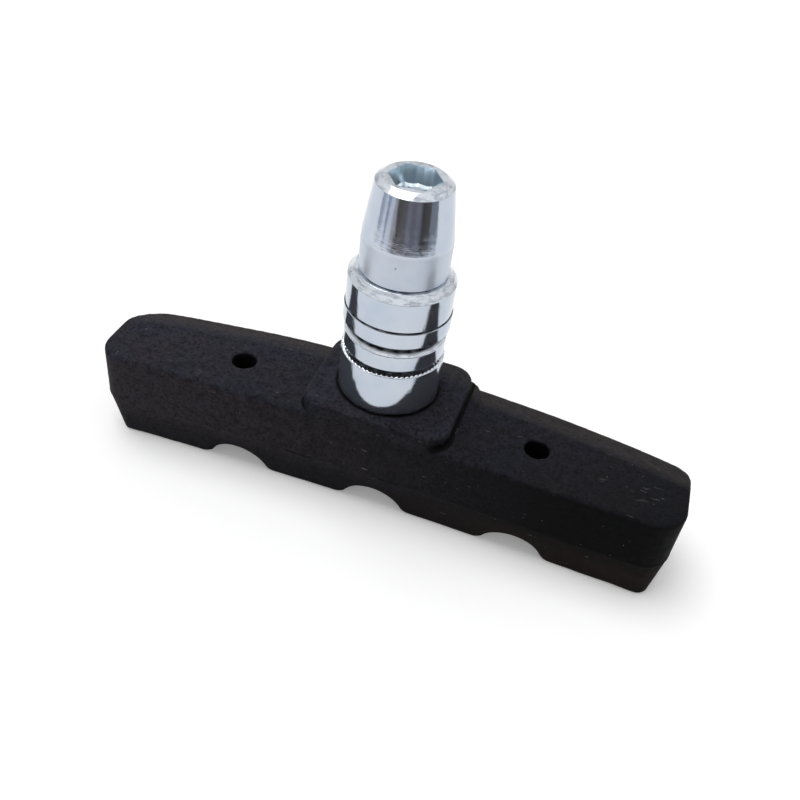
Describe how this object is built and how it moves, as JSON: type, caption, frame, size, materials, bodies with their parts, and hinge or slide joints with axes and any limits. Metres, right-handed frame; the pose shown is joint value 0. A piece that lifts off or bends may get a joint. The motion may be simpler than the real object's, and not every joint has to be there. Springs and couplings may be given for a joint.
{
  "type": "bicycle rim brake pad",
  "caption": "Rim brake pad for a bicycle: a grooved rubber shoe on a threaded post, with spherical washers and a socket nut that clamp it to the brake arm.",
  "frame": {"origin": "on the post's axis, in the plane of the friction face that bears on the rim", "axes": "+Z along the post, from the friction face to the nut; +X along the length of the shoe; +Y towards its crowned side"},
  "size_m": [0.0706, 0.015, 0.0405],
  "materials": {
    "rubber": "matt black moulded rubber, faintly dusty",
    "steel": "plain mild steel",
    "plating": "bright bluish zinc plating on turned steel"
  },
  "bodies": {
    "root": {"brake_shoe": "rubber", "backing_plate": "steel", "post": "steel", "lower_dome_washer": "plating", "lower_cup_washer": "plating", "upper_cup_washer": "plating", "upper_dome_washer": "plating", "socket_nut": "plating"}
  },
  "joints": []
}
